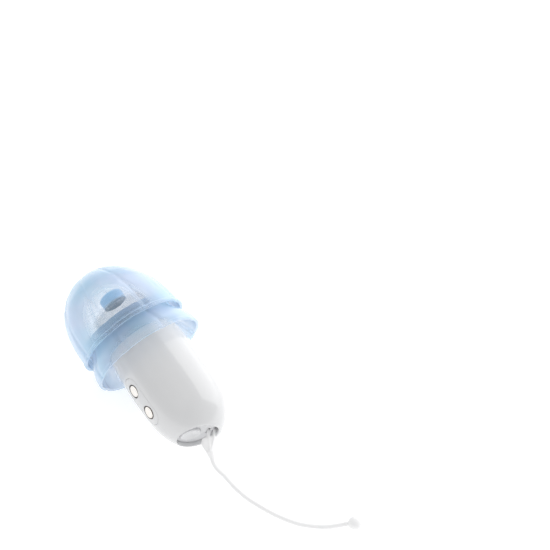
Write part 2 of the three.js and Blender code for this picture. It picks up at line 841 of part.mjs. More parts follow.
// The soft root is a loop round the bar in the base, drawn square to the slanted face, and a web that narrows
// from the loop to the cord.
function tailRoot() {
  const { bar, barWidth, strand, halfWidth, cord } = tail;
  const front = base.recessDepth - gap;
  const back = base.recessDepth + base.capThick + gap;
  const low = bar - barWidth / 2 - gap;
  const high = bar + barWidth / 2 + gap;
  const loop = cut(
    box(low - strand, high + strand, -halfWidth, halfWidth, front - 1.3, back + 1),
    box(low, high, -far, far, front, back),
  );
  const web = strip([
    [[bar, -0.2, front - 0.6], 2.3, 0.6],
    [[-0.8, -1.3, -0.6], 3.8, 0.8],
    [[0.1, -2.5, -3.2], 4, 0.85],
    [[-0.1, -3.8, -7], 2.3, 1],
    [[-0.8, -5.3, -10.6], cord / 2, cord / 2],
    [[-1, -5.8, -11.9], cord / 2, cord / 2],
  ]);
  return join(loop, web);
}

const tailCord = () => tube(tailRoute, tail.cord / 2, 44, 4);

const tailBall = () => new THREE.SphereGeometry(tail.ball / 2, 16, 12).translate(...ballCentre);

// ---- Leads --------------------------------------------------------------------------------------------------

const boardFace = board.x - gap;

const batteryLeadNegative = () => {
  const z = battery.z - gap - lead;
  return tube([[battery.x, 2, z], [battery.x + 9, 5, z - 0.3], [motor.x, 6, z], [boardFace, 6, z + 1]], lead, 10, 3);
};

const batteryLeadPositive = () => {
  const z = battery.z + battery.length - 2.5;
  const out = battery.radius + lead + gap;
  const start = [battery.x + out / 2, (out * Math.sqrt(3)) / 2, z];
  return tube([start, [0, 9.8, z - 1], [7, 10.4, z - 3], [boardFace - 1.2, 7.5, z - 5], [boardFace, 7, z - 5]], lead, 12, 3);
};

const motorLead = (side) => {
  const z = motorBottom - motor.capThick - slip - gap;
  return tube(
    [
      [motor.x + 2, side * 3, z],
      [motor.x + 2.8, side * 3, z - 1.4],
      [boardFace - 1.6, side * 2.8, z - 2],
      [boardFace, side * 2.8, z - 2],
    ],
    lead,
    8,
    3,
  );
};

const buttonLead = () => {
  const start = new THREE.Vector3(6, -4, buttonBoard.depth + buttonBoard.thick + gap).applyMatrix4(slant);
  return tube(
    [
      start.toArray(),
      [start.x - 0.2, start.y, start.z + 1.6],
      [boardFace - 4, -5, board.lowZ - 0.4],
      [boardFace, -5.5, board.lowZ + 1.6],
    ],
    lead,
    10,
    3,
  );
};

// ---- Assembly -----------------------------------------------------------------------------------------------

function piece(name, shape, material) {
  const mesh = new THREE.Mesh(geometryOf(shape), material);
  mesh.name = name;
  return mesh;
}

const along = new THREE.Group(); // everything drawn along the object's axis
const inBase = new THREE.Group(); // everything drawn square to the slanted base face
inBase.rotation.y = -base.tilt;
inBase.position.z = base.axisZ;
along.add(inBase);

along.add(
  piece("main_casing", mainCasing(), materials.shell),
  piece("charge_pad", chargePad(), materials.shell),
  piece("charge_contact_lower", chargeContact(contact.lowerZ), materials.contact),
  piece("charge_contact_upper", chargeContact(contact.upperZ), materials.contact),
  piece("contact_gasket_lower", contactGasket(contact.lowerZ), materials.rubber),
  piece("contact_gasket_upper", contactGasket(contact.upperZ), materials.rubber),
  piece("charge_magnet", chargeMagnet(), materials.steel),
  piece("control_board", controlBoard(), materials.board),
  piece("battery_cell", batteryCell(), materials.cell),
  piece("motor_can", motorCan(), materials.steel),
  piece("motor_end_cap", motorEndCap(), materials.plastic),
  piece("motor_magnet_left", motorMagnet(1), materials.black),
  piece("motor_magnet_right", motorMagnet(-1), materials.black),
  piece("motor_shaft", motorShaft(), materials.steel),
  piece("motor_armature", motorArmature(), materials.copper),
  piece("eccentric_cam", eccentricCam(), materials.steel),
  piece("pump_bracket", pumpBracket(), materials.plastic),
  piece("crank_bearing", crankBearing(), materials.steel),
  piece("connecting_rod", connectingRod(), materials.plastic),
  piece("pump_diaphragm", diaphragm(), materials.rubber),
  piece("pump_block", pumpBlock(), materials.plastic),
  piece("valve_plate", valvePlate(), materials.clear),
  piece("inlet_valve_flap", valveFlap(portY), materials.rubber),
  piece("outlet_valve_flap", valveFlap(-portY), materials.rubber),
  piece("pump_cover", pumpCover(), materials.plastic),
  piece("suction_hose", suctionHose(), materials.clear),
  piece("top_deck", topDeck(), materials.shell),
  piece("deck_seal", deckSeal(), materials.rubber),
  piece("cup_seal", cupSeal(), materials.rubber),
  piece("collection_cup", collectionCup(), materials.clear),
  piece("splash_guard", splashGuard(), materials.milky),
  piece("nose_tip", noseTip(), materials.hood),
  piece("hood_dome", hoodDome(), materials.hood),
  piece("hood_skirt", hoodSkirt(), materials.hood),
  piece("battery_lead_negative", batteryLeadNegative(), materials.black),
  piece("battery_lead_positive", batteryLeadPositive(), materials.red),
  piece("motor_lead_left", motorLead(1), materials.red),
  piece("motor_lead_right", motorLead(-1), materials.black),
  piece("button_lead", buttonLead(), materials.black),
);
[1, -1].forEach((side) => {
  const place = side > 0 ? "left" : "right";
  const seat = bracket.z + bracket.thick + slip;
  along.add(piece(`motor_screw_${place}`, screwShape(seat, 2.4, motor.x, side * motor.screwY), materials.steel));
});
for (const [y, sideName] of [[1, "left"], [-1, "right"]])
  for (const [z, endName] of [[1, "upper"], [-1, "lower"]])
    along.add(
      piece(
        `pump_screw_${endName}_${sideName}`,
        pumpScrew(y * pumpScrewY, pump.z + z * pump.screwZ),
        materials.steel,
      ),
    );

inBase.add(
  piece("base_cap", baseCap(), materials.shell),
  piece("power_button", powerButton(), materials.shell),
  piece("switch_plunger", switchPlunger(), materials.black),
  piece("tact_switch", tactSwitch(), materials.plastic),
  piece("snap_dome", snapDome(), materials.steel),
  piece("button_board", buttonBoardPlate(), materials.board),
);
[1, -1].forEach((side) => {
  const seat = buttonBoard.depth + buttonBoard.thick + slip;
  inBase.add(
    piece(
      `board_screw_${side > 0 ? "left" : "right"}`,
      screwShape(seat, 4, buttonBoard.postX, side * buttonBoard.postY),
      materials.steel,
    ),
  );
});

// The object rests on the hood's rim and the casing's flank: the steepest line from the rim that clears the casing.
function restingPitch() {
  let slope = Infinity;
  for (let z = 0; z < hood.rimZ; z += 0.5)
    slope = Math.min(slope, (hood.rimRadius - casingRadius(z)) / (hood.rimZ - z));
  return Math.atan(slope);
}

along.rotation.z = roll;
const lying = new THREE.Group();
lying.add(along);
lying.rotation.y = restingPitch() - Math.PI / 2;

const aspirator = new THREE.Group();
aspirator.add(lying);
aspirator.updateMatrixWorld(true);
const bounds = new THREE.Box3().setFromObject(lying, true);
const middle = bounds.getCenter(new THREE.Vector3());
lying.position.set(-middle.x, -middle.y, -bounds.min.z);

// The tail is soft, so it has no part in where the object's origin is.
inBase.add(piece("tail_root", tailRoot(), materials.milky));
aspirator.add(
  piece("tail_cord", tailCord(), materials.milky),
  piece("tail_ball", tailBall(), materials.milky),
);

export default aspirator;
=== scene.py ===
"""Looks of a hand-held nasal aspirator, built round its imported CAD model.

It has a glossy white egg-shaped casing with charging contacts, a two-tier translucent hood over a nose tip
and a cup, and a soft tail that ends in a ball.
"""

import json
import math

import bmesh
import bpy
from mathutils import Matrix, Vector


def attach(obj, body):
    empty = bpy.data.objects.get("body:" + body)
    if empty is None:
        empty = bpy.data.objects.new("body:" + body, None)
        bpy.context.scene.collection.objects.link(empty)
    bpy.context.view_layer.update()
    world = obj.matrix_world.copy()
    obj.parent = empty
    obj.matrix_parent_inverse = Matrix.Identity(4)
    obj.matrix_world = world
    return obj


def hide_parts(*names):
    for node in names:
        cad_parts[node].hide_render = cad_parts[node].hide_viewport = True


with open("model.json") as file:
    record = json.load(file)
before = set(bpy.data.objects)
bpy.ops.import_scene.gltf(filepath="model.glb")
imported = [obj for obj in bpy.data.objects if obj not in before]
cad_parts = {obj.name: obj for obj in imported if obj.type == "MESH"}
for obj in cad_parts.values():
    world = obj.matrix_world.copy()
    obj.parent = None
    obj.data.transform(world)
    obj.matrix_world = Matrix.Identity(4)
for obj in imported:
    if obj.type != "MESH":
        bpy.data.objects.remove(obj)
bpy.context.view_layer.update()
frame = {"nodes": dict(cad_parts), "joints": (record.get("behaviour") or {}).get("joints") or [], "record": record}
MM = 0.001

# ---- Sizes, in millimetres -----------------------------------------------------------------------

GAP = 0.15  # what touching pieces keep between them

CASING_RADIUS = 19.75
WIDEST_Z = 34
NOSE_LENGTH = 37  # from the widest place to the tip that the slanted base cuts off
NOSE_FULLNESS = 3.2
TAPER = 0.0028
CASING_TOP = 66
WALL = 1.8

TILT = math.radians(19)  # the slanted base
BASE_Z = 0.4
RECESS_CENTRE = 5.2
RECESS_RADIUS = 10.4
RECESS_DEPTH = 2.2
CAP_THICK = 1.8
BUTTON_CENTRE = 8.6
BUTTON_RADIUS = 5.2
BUTTON_FRONT = 0.8
BUTTON_DISH = 0.9
BAR = -2.4  # the bar that the tail is looped round
BAR_WIDTH = 1.4
SLOT_HALF = 2.6

PAD_HALF_WIDTH = 5
PAD_HALF_LENGTH = 13.2
PAD_FLOOR = 18.0  # how far from the axis the pad's pocket ends
CONTACT_Z = {"lower": 23.7, "upper": 36.5}
CONTACT_RADIUS = 3
CONTACT_FACE = CASING_RADIUS - 0.2
RING = 0.5

GORES = 8
CREASE = 0.5
HOOD_WALL = 1.6
DOME_RADIUS = 27.8
DOME_HEIGHT = 37.6
LIP_Z = 62.8
LIP_RADIUS = 28.4
CROWN_Z = 89.5
CROWN_STEP = 0.5
RIM_Z = 49.6
RIM_RADIUS = 28.8
WAIST_RADIUS = 23.4
SHELF_Z = 67
SHELF_THICK = 1.4
COLLAR_Z = 58
COLLAR_WALL = 1
RIM_LEAN = 0.7  # the soft hood leans this far towards the contacts at its rim,
LEAN_RISE = 0.08  # and this much more for each millimetre above the rim,
LEAN_TOP_Z = 95  # up to here
FULLNESS = 2.25  # 2 gives an elliptic dome, and more a blunter one

CUP_RADIUS = 16.6
CUP_WALL = 1.4
SHOULDER_Z = 76
NECK_RADIUS = 5
NECK_Z = 81
SPIGOT_Z = 64.9
NOSE_RADIUS = 6.2
NOSE_BORE = 1.6
NOSE_TOP = 87.5

CORD = 2.4  # the tail's thickness
BALL = 7
WEB_GRAIN = 0.18  # how finely the tail's fork and web are melted together

SEAT_INSET = 0.8  # how far the cap's seat reaches into the recess
SEAMLESS = 0.03  # how far the pad lies below the casing's own surface

# The tail's route along the ground, in the row frame: the same points as the CAD model's.
TAIL_ROUTE = [
    (57.2, -2.95, 5.15),
    (58.95, -2.95, 4.1),
    (61.35, -2.55, 3.1),
    (64.75, -1.75, 2.2),
    (68.75, -1.55, 1.6),
    (76.05, -0.95, 1.25),
    (82.65, 0.25, 1.2),
    (88.25, 1.95, 1.2),
    (93.75, 3.85, 1.2),
    (98.95, 6.05, 1.2),
    (103.55, 8.45, 1.2),
    (107.65, 11.15, 1.2),
    (111.25, 14.35, 1.2),
    (114.45, 17.85, 1.25),
    (117.25, 21.45, 1.5),
    (119.75, 25.35, 2.2),
    (121.65, 28.35, 3),
]
BALL_CENTRE = (123.75, 31.45, 3.5)

# ---- Where pieces go: two frames in millimetres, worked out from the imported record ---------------

joints = {joint["name"]: joint for joint in frame["joints"]}
mounts = {mount["name"]: mount for mount in frame["record"]["mounts"]}


def local_frame():
    """The frame along the object's axis: Z from the base to the hood, X towards the charging contacts."""
    lower = mounts["charging_contact_lower"]
    z = Vector(joints["cup_pull"]["axis"]).normalized()
    x = Vector(lower["axis"]).normalized()
    y = z.cross(x)
    origin = Vector(lower["pos_m"]) - (x * CONTACT_FACE + z * CONTACT_Z["lower"]) * MM
    columns = Matrix((x, y, z)).transposed().to_4x4()
    return Matrix.Translation(origin) @ columns @ Matrix.Scale(MM, 4)


LOCAL = local_frame()
SLANT = LOCAL @ Matrix.Translation((0, 0, BASE_Z)) @ Matrix.Rotation(-TILT, 4, "Y")
ROW = Matrix.Scale(MM, 4)


# ---- Materials -----------------------------------------------------------------------------------


class Nodes:
    """A material's node tree, with short ways to add and join nodes."""

    def __init__(self, name):
        self.material = bpy.data.materials.new(name)
        self.material.use_nodes = True
        self.tree = self.material.node_tree
        self.shader = self.tree.nodes["Principled BSDF"]
        self.place = self.add("ShaderNodeTexCoord").outputs["Object"]

    def add(self, kind, **values):
        node = self.tree.nodes.new(kind)
        for key, value in values.items():
            socket = node.inputs.get(key.replace("_", " "))
            if socket is None:
                setattr(node, key, value)
            else:
                socket.default_value = value
        return node

    def link(self, output, socket):
        self.tree.links.new(output, socket)

    def set(self, **values):
        for key, value in values.items():
            self.shader.inputs[key.replace("_", " ")].default_value = value

    def noise(self, scale, detail=3.0, stretch=(1, 1, 1)):
        mapping = self.add("ShaderNodeMapping")
        mapping.inputs["Scale"].default_value = stretch
        self.link(self.place, mapping.inputs["Vector"])
        noise = self.add("ShaderNodeTexNoise", Scale=scale, Detail=detail)
        self.link(mapping.outputs["Vector"], noise.inputs["Vector"])
        return noise.outputs["Fac"]

    def ramp(self, value, low, high, start=0.3, end=0.7):
        ramp = self.add("ShaderNodeValToRGB")
        ramp.color_ramp.elements[0].position = start
        ramp.color_ramp.elements[0].color = (*low, 1)
        ramp.color_ramp.elements[1].position = end
        ramp.color_ramp.elements[1].color = (*high, 1)
        self.link(value, ramp.inputs["Fac"])
        return ramp.outputs["Color"]

    def span(self, value, low, high, start=0.3, end=0.7):
        span = self.add("ShaderNodeMapRange")
        for key, amount in (("From Min", start), ("From Max", end), ("To Min", low), ("To Max", high)):
            span.inputs[key].default_value = amount
        self.link(value, span.inputs["Value"])
        return span.outputs["Result"]

    def bump(self, value, strength, distance):
        bump = self.add("ShaderNodeBump", Strength=strength, Distance=distance)
        self.link(value, bump.inputs["Height"])
        self.link(bump.outputs["Normal"], self.shader.inputs["Normal"])


def shade(color, amount):
    return tuple(channel * amount for channel in color)


def plain(
    name, color, roughness, metallic=0.0, grain=900, relief=0.02, unevenness=0.96, stretch=(1, 1, 1), **more
):
    """A moulded, plated or rolled finish: slightly uneven colour and gloss, and a fine grain."""
    nodes = Nodes(name)
    nodes.set(Metallic=metallic, **more)
    broad = nodes.noise(60, 2.0, stretch)
    fine = nodes.noise(grain, 4.0, stretch)
    nodes.link(nodes.ramp(broad, shade(color, unevenness), color), nodes.shader.inputs["Base Color"])
    nodes.link(nodes.span(fine, roughness * 0.85, roughness * 1.2), nodes.shader.inputs["Roughness"])
    nodes.bump(fine, relief, 0.0002)
    return nodes.material


def see_through(name, color, deep, roughness, face_on, edge_on, **more):
    """A translucent moulding: it lets less light through where it is seen edge on, as a thick wall does."""
    nodes = Nodes(name)
    nodes.set(IOR=1.42, **more)
    facing = nodes.add("ShaderNodeLayerWeight", Blend=0.45).outputs["Facing"]
    nodes.link(nodes.span(facing, face_on, edge_on, 0.05, 0.85), nodes.shader.inputs["Alpha"])
    cloud = nodes.noise(45, 3.0)
    nodes.link(nodes.ramp(cloud, deep, color, 0.32, 0.62), nodes.shader.inputs["Base Color"])
    fine = nodes.noise(700, 3.0)
    nodes.link(nodes.span(fine, roughness * 0.8, roughness * 1.3), nodes.shader.inputs["Roughness"])
    nodes.bump(nodes.noise(160, 2.0), 0.05, 0.0004)
    return nodes.material


def banded(name, low, high, scale, roughness, metallic=0.0):
    """Bands along the object's length: windings, or the print-free stripe of a cell's wrap."""
    nodes = Nodes(name)
    nodes.set(Metallic=metallic)
    wave = nodes.add("ShaderNodeTexWave", Scale=scale, Distortion=0.4)
    nodes.link(nodes.place, wave.inputs["Vector"])
    nodes.link(nodes.ramp(wave.outputs["Fac"], low, high, 0.2, 0.8), nodes.shader.inputs["Base Color"])
    gloss = nodes.span(nodes.noise(500), roughness * 0.8, roughness * 1.2)
    nodes.link(gloss, nodes.shader.inputs["Roughness"])
    nodes.bump(wave.outputs["Fac"], 0.15, 0.0002)
    return nodes.material


def laminate(name):
    """A circuit board: tracks under green lacquer."""
    nodes = Nodes(name)
    cells = nodes.add("ShaderNodeTexVoronoi", Scale=650.0)
    cells.distance = "CHEBYCHEV"
    nodes.link(nodes.place, cells.inputs["Vector"])
    tracks = nodes.ramp(cells.outputs["Distance"], (0.02, 0.14, 0.07), (0.05, 0.3, 0.15), 0.35, 0.42)
    nodes.link(tracks, nodes.shader.inputs["Base Color"])
    nodes.link(nodes.span(nodes.noise(400), 0.3, 0.42), nodes.shader.inputs["Roughness"])
    nodes.bump(cells.outputs["Distance"], 0.1, 0.0001)
    return nodes.material


WHITE = (0.7, 0.705, 0.715)
MATERIALS = {
    "shell": plain(
        "shell_gloss", WHITE, 0.13, relief=0.008, unevenness=0.985, Coat_Weight=0.8, Coat_Roughness=0.05
    ),
    "button": plain("button_satin", (0.7, 0.705, 0.72), 0.24, relief=0.02, unevenness=0.98),
    "hood": see_through(
        "hood_blue", (0.53, 0.77, 0.97), (0.66, 0.76, 0.97), 0.1, 0.15, 0.9, Coat_Weight=0.6
    ),
    "soft_tip": plain("tip_blue", (0.3, 0.55, 0.86), 0.35, relief=0.05),
    "clear_plastic": see_through("clear", (0.95, 0.98, 1.0), (0.9, 0.95, 1.0), 0.08, 0.03, 0.2),
    "tail": plain("tail_milky", (0.95, 0.95, 0.955), 0.38, relief=0.04, unevenness=0.98),
    "white_plastic": plain("white_satin", (0.82, 0.82, 0.83), 0.35, relief=0.04),
    "contact": plain("contact_plate", (0.93, 0.89, 0.84), 0.22, 1.0, relief=0.03, unevenness=0.94),
    "gasket": plain("gasket_rubber", (0.09, 0.075, 0.07), 0.6, relief=0.1, unevenness=0.8),
    "circuit_board": laminate("board_green"),
    "battery_wrap": banded("cell_wrap", (0.1, 0.24, 0.42), (0.13, 0.3, 0.5), 12.0, 0.3),
    "copper_winding": banded("winding", (0.4, 0.18, 0.07), (0.72, 0.38, 0.18), 420.0, 0.35, 1.0),
    "dark_plastic": plain("dark_moulding", (0.04, 0.042, 0.047), 0.5, relief=0.12, unevenness=0.8),
    "red_lead": plain("lead_red", (0.5, 0.04, 0.03), 0.42, relief=0.05),
    "black_lead": plain("lead_black", (0.02, 0.02, 0.022), 0.42, relief=0.05),
    "magnet": plain("magnet_dull", (0.12, 0.12, 0.13), 0.5, 0.7, relief=0.1, unevenness=0.85),
    "steel": plain(
        "steel_drawn", (0.62, 0.63, 0.65), 0.3, 1.0, relief=0.08, unevenness=0.9, stretch=(1, 1, 12)
    ),
}

# ---- Making pieces -------------------------------------------------------------------------------


def piece(name, points, faces, matrix, slot, body, *nodes, sharp=32):
    """A closed mesh drawn in millimetres in the frame that matrix gives, in place of CAD nodes."""
    mesh = bpy.data.meshes.new(name)
    mesh.from_pydata([matrix @ Vector(point) for point in points], [], faces)
    tidy = bmesh.new()
    tidy.from_mesh(mesh)
    bmesh.ops.remove_doubles(tidy, verts=tidy.verts, dist=1e-7)
    bmesh.ops.dissolve_degenerate(tidy, edges=tidy.edges, dist=1e-8)
    bmesh.ops.recalc_face_normals(tidy, faces=tidy.faces)
    tidy.to_mesh(mesh)
    tidy.free()
    made = bpy.data.objects.new(name, mesh)
    bpy.context.scene.collection.objects.link(made)
    if slot:
        finish_piece(made, slot, body, *nodes, sharp=sharp)
    return made


def finish_piece(made, slot, body, *nodes, sharp=32):
    smooth(made, sharp)
    made.data.materials.clear()
    made.data.materials.append(MATERIALS[slot])
    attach(made, body)
    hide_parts(*nodes)


def smooth(made, sharp):
    made.data.shade_smooth()
    made.data.set_sharp_from_angle(angle=math.radians(sharp))


def rounded(corners, steps=4):
    """A closed outline of (radius, z) or (radius, z, fillet) corners, rounded by their fillets."""
    outline = []
    count = len(corners)
    for i, corner in enumerate(corners):
        here = Vector(corner[:2])
        fillet = corner[2] if len(corner) > 2 else 0
        if fillet <= 0:
            outline.append(tuple(here))
            continue
        before = Vector(corners[i - 1][:2]) - here
        after = Vector(corners[(i + 1) % count][:2]) - here
        start = here + before.normalized() * min(fillet, before.length * 0.45)
        end = here + after.normalized() * min(fillet, after.length * 0.45)
        for k in range(steps + 1):
            share = k / steps
            outline.append(tuple(start.lerp(here, share).lerp(here.lerp(end, share), share)))
    return outline


def turned(outline, segments, radius_at=lambda radius, z, turn: radius):
    """Points and faces of a closed outline turned about Z. radius_at may pull the radius in."""
    points = []
    for k in range(segments):
        turn = 2 * math.pi * k / segments
        for radius, z in outline:
            pulled = radius_at(radius, z, turn)
            points.append((pulled * math.cos(turn), pulled * math.sin(turn), z))
    return points, woven(segments, len(outline))


def woven(segments, ring):
    """The faces between segments outlines of ring points each, closed both ways."""
    faces = []
    for k in range(segments):
        for i in range(ring):
            a = k * ring + i
            b = k * ring + (i + 1) % ring
            c = ((k + 1) % segments) * ring + (i + 1) % ring
            d = ((k + 1) % segments) * ring + i
            faces.append((a, b, c, d))
    return faces


def carve(made, *cutters, operation="DIFFERENCE"):
    """Cuts other meshes out of one, and removes them."""
    for cutter in cutters:
        change = made.modifiers.new("cut", "BOOLEAN")
        change.operation = operation
        change.solver = "EXACT"
        change.object = cutter
    settle(made)
    for cutter in cutters:
        bpy.data.objects.remove(cutter)


def settle(made):
    """Applies a mesh's modifiers."""
    graph = bpy.context.evaluated_depsgraph_get()
    mesh = bpy.data.meshes.new_from_object(made.evaluated_get(graph))
    made.modifiers.clear()
    made.data = mesh


def tool(points, faces, matrix=LOCAL):
    return piece("tool", points, faces, matrix, None, None)


def rod_tool(radius, z0, z1, x=0, y=0, matrix=LOCAL):
    points, faces = turned([(0, z0), (radius, z0), (radius, z1), (0, z1)], 64)
    return tool([(px + x, py + y, pz) for px, py, pz in points], faces, matrix)


def box_tool(x, y, z, matrix):
    """A box between the two values of each of x, y and z."""
    points = [(px, py, pz) for px in x for py in y for pz in z]
    faces = [(0, 1, 3, 2), (4, 6, 7, 5), (0, 4, 5, 1), (2, 3, 7, 6), (0, 2, 6, 4), (1, 5, 7, 3)]
    return tool(points, faces, matrix)


# ---- Casing --------------------------------------------------------------------------------------


def casing_radius(z, inset=0.0):
    radius = CASING_RADIUS - inset
    if z >= WIDEST_Z:
        return radius - TAPER * (z - WIDEST_Z) ** 2
    along = (WIDEST_Z - z) / (NOSE_LENGTH - inset)
    return radius * math.sqrt(max(0.0, 1 - along**NOSE_FULLNESS))


TO_SLANT = (Matrix.Translation((0, 0, BASE_Z)) @ Matrix.Rotation(-TILT, 4, "Y")).inverted()
FROM_SLANT = TO_SLANT.inverted()


def on_meridian(turn, depth, inset=0.0):
    """The height at which the casing's surface at that angle is depth inside the slanted face."""
    low, high = WIDEST_Z - NOSE_LENGTH + inset, float(WIDEST_Z)
    for _ in range(40):
        middle = (low + high) / 2
        radius = casing_radius(middle, inset)
        point = TO_SLANT @ Vector((radius * math.cos(turn), radius * math.sin(turn), middle))
        if point.z < depth:
            low = middle
        else:
            high = middle
    return high


def casing_column(turn):
    """The casing's closed section at one angle: the recess, the rim, the outside, the inside."""
    rim_z = on_meridian(turn, 0)
    radius = casing_radius(rim_z)
    rim = TO_SLANT @ Vector((radius * math.cos(turn), radius * math.sin(turn), rim_z))
    out = Vector((rim.x - RECESS_CENTRE, rim.y, 0))
    reach = out.length
    out.normalize()

    def in_recess(distance, depth):
        return FROM_SLANT @ Vector((RECESS_CENTRE + out.x * distance, out.y * distance, depth))

    lip = reach - RECESS_RADIUS
    seat = RECESS_DEPTH + CAP_THICK + GAP
    points = [
        in_recess(RECESS_RADIUS - SEAT_INSET, seat + 3),
        in_recess(RECESS_RADIUS - SEAT_INSET, seat),
        in_recess(RECESS_RADIUS, seat),
        in_recess(RECESS_RADIUS, 1.2),
        in_recess(RECESS_RADIUS, 0.35),
        in_recess(RECESS_RADIUS + lip * 0.08, 0.12),
        in_recess(RECESS_RADIUS + lip * 0.25, 0.02),
        in_recess(RECESS_RADIUS + lip * 0.5, 0.0),
        in_recess(RECESS_RADIUS + lip * 0.75, 0.03),
    ]
    edge = on_meridian(turn, 0.5)

    def outside(z, inset=0.0):
        around = casing_radius(z, inset)
        return Vector((around * math.cos(turn), around * math.sin(turn), z))

    corner = outside(on_meridian(turn, 0.18)) * 0.6 + in_recess(RECESS_RADIUS + lip * 0.9, 0.1) * 0.4
    points.append(corner)
    steps = 56
    for i in range(steps + 1):
        share = i / steps
        points.append(outside(edge + (CASING_TOP - 0.4 - edge) * (0.35 * share**2 + 0.65 * share)))
    points += [outside(CASING_TOP, 0.35), outside(CASING_TOP, WALL - 0.2), outside(CASING_TOP - 0.4, WALL)]
    inside = on_meridian(turn, seat + 4, WALL)
    for i in range(13):
        points.append(outside(CASING_TOP - 2 + (inside - CASING_TOP + 2) * i / 12, WALL))
    return points


def stadium_tool(half_width, half_length, x0, x1):
    arc = 24
    straight = half_length - half_width
    middle = (CONTACT_Z["lower"] + CONTACT_Z["upper"]) / 2
    outline = []
    for end in (1, -1):
        for i in range(arc + 1):
            turn = math.pi * i / arc + (0 if end > 0 else math.pi)
            z = middle + end * straight + half_width * math.sin(turn)
            outline.append((half_width * math.cos(turn), z))
    count = len(outline)
    points = [(x, y, z) for x in (x0, x1) for y, z in outline]
    faces = [(i, (i + 1) % count, count + (i + 1) % count, count + i) for i in range(count)]
    faces += [tuple(range(count))[::-1], tuple(range(count, 2 * count))]
    return tool(points, faces)


def facing_x(z):
    """The frame of a round piece that faces the contacts' side, its Z along X."""
    return LOCAL @ Matrix.Translation((CONTACT_FACE, 0, z)) @ Matrix.Rotation(math.pi / 2, 4, "Y")


def make_casing():
    segments = 192
    columns = [casing_column(2 * math.pi * k / segments) for k in range(segments)]
    ring = len(columns[0])
    points = [point for column in columns for point in column]
    casing = piece("casing_shell", points, woven(segments, ring), LOCAL, None, None)
    carve(casing, stadium_tool(PAD_HALF_WIDTH + GAP, PAD_HALF_LENGTH + GAP, PAD_FLOOR, 30))
    finish_piece(casing, "shell", "aspirator", "main_casing", sharp=38)


def make_pad():
    """The pad fills its pocket up to the casing's own curve, with holes for the contacts and rings."""
    segments = 384
    outline = [(4.0, 10.0)]
    steps = 80
    for i in range(steps + 1):
        z = 10 + 40 * i / steps
        outline.append((casing_radius(z) - SEAMLESS, z))
    outline.append((4.0, 50.0))
    points, faces = turned(outline, segments)
    pad = piece("charging_pad", points, faces, LOCAL, None, None)
    carve(
        pad,
        stadium_tool(PAD_HALF_WIDTH, PAD_HALF_LENGTH, PAD_FLOOR + GAP, 30),
        operation="INTERSECT",
    )
    hole = CONTACT_RADIUS + RING + GAP / 2
    carve(pad, *(rod_tool(hole, -10, 10, matrix=facing_x(z)) for z in CONTACT_Z.values()))
    finish_piece(pad, "shell", "aspirator", "charge_pad", sharp=38)


def make_contacts():
    for name, z in CONTACT_Z.items():
        r = CONTACT_RADIUS
        face = [(0, -0.14), (r * 0.35, -0.12), (r * 0.6, -0.06), (r * 0.78, 0, 0.15)]
        outline = rounded([*face, (r, 0, 0.3), (r, -1.2, 0.1), (1.1, -1.2, 0.1), (1.1, -4.7), (0, -4.7)])
        points, faces = turned(outline, 64)
        node = f"charge_contact_{name}"
        piece(f"contact_{name}", points, faces, facing_x(z), "contact", "aspirator", node)
        ring = [(r + 0.06, -1.6), (r + RING, -1.6), (r + RING, -0.06, 0.2), (r + 0.06, -0.06, 0.2)]
        points, faces = turned(rounded(ring), 64)
        node = f"contact_gasket_{name}"
        piece(f"gasket_{name}", points, faces, facing_x(z), "gasket", "aspirator", node)


# ---- Base ----------------------------------------------------------------------------------------


def make_base_cap():
    back = RECESS_DEPTH + CAP_THICK
    radius = RECESS_RADIUS - GAP
    corners = [(0, RECESS_DEPTH), (radius, RECESS_DEPTH, 0.3), (radius, back, 0.2), (0, back)]
    points, faces = turned(rounded(corners), 96)
    cap = piece("recess_cap", [(x + RECESS_CENTRE, y, z) for x, y, z in points], faces, SLANT, None, None)
    inner, outer = BAR + BAR_WIDTH / 2, BAR - BAR_WIDTH / 2
    slot_y, through = (-SLOT_HALF, SLOT_HALF), (0, back + 1)
    carve(
        cap,
        rod_tool(BUTTON_RADIUS + GAP, 0, back + 1, BUTTON_CENTRE, matrix=SLANT),
        box_tool((inner, inner + 1.7), slot_y, through, SLANT),
        box_tool((-CASING_RADIUS, outer), slot_y, through, SLANT),
    )
    finish_piece(cap, "button", "aspirator", "base_cap")


def make_button():
    back = RECESS_DEPTH + CAP_THICK + GAP
    steps = 10
    face = []
    for i in range(steps + 1):
        share = i / steps
        face.append((share * (BUTTON_RADIUS - 0.8), BUTTON_FRONT + BUTTON_DISH * (1 - share**2)))
    corners = [
        *face,
        (BUTTON_RADIUS - 0.35, BUTTON_FRONT + 0.02, 0.3),
        (BUTTON_RADIUS, BUTTON_FRONT + 0.45, 0.3),
        (BUTTON_RADIUS, back),
        (BUTTON_RADIUS + 0.7, back),
        (BUTTON_RADIUS + 0.7, back + 0.8),
        (0, back + 0.8),
    ]
    points, faces = turned(rounded(corners), 72)
    points = [(x + BUTTON_CENTRE, y, z) for x, y, z in points]
    piece("push_button", points, faces, SLANT, "button", "button", "power_button")


# ---- Tail ----------------------------------------------------------------------------------------


def strand(places, radii, sides=14, flat=1.0):
    """A closed round strand through places, square to the slanted face, its thickness times flat."""
    points, faces = [], []
    for i, (place, radius) in enumerate(zip(places, radii)):
        before = Vector(places[max(0, i - 1)])
        after = Vector(places[min(len(places) - 1, i + 1)])
        up = (after - before).cross(Vector((1, 0, 0))).normalized()
        for k in range(sides):
            turn = 2 * math.pi * k / sides
            across = Vector((radius * math.cos(turn), 0, 0))
            points.append(Vector(place) + across + up * radius * flat * math.sin(turn))
    for i in range(len(places) - 1):
        for k in range(sides):
            a, b = i * sides + k, i * sides + (k + 1) % sides
            faces.append((a, b, b + sides, a + sides))
    last = len(points) - sides
    faces += [tuple(range(sides))[::-1], tuple(range(last, last + sides))]
    return points, faces


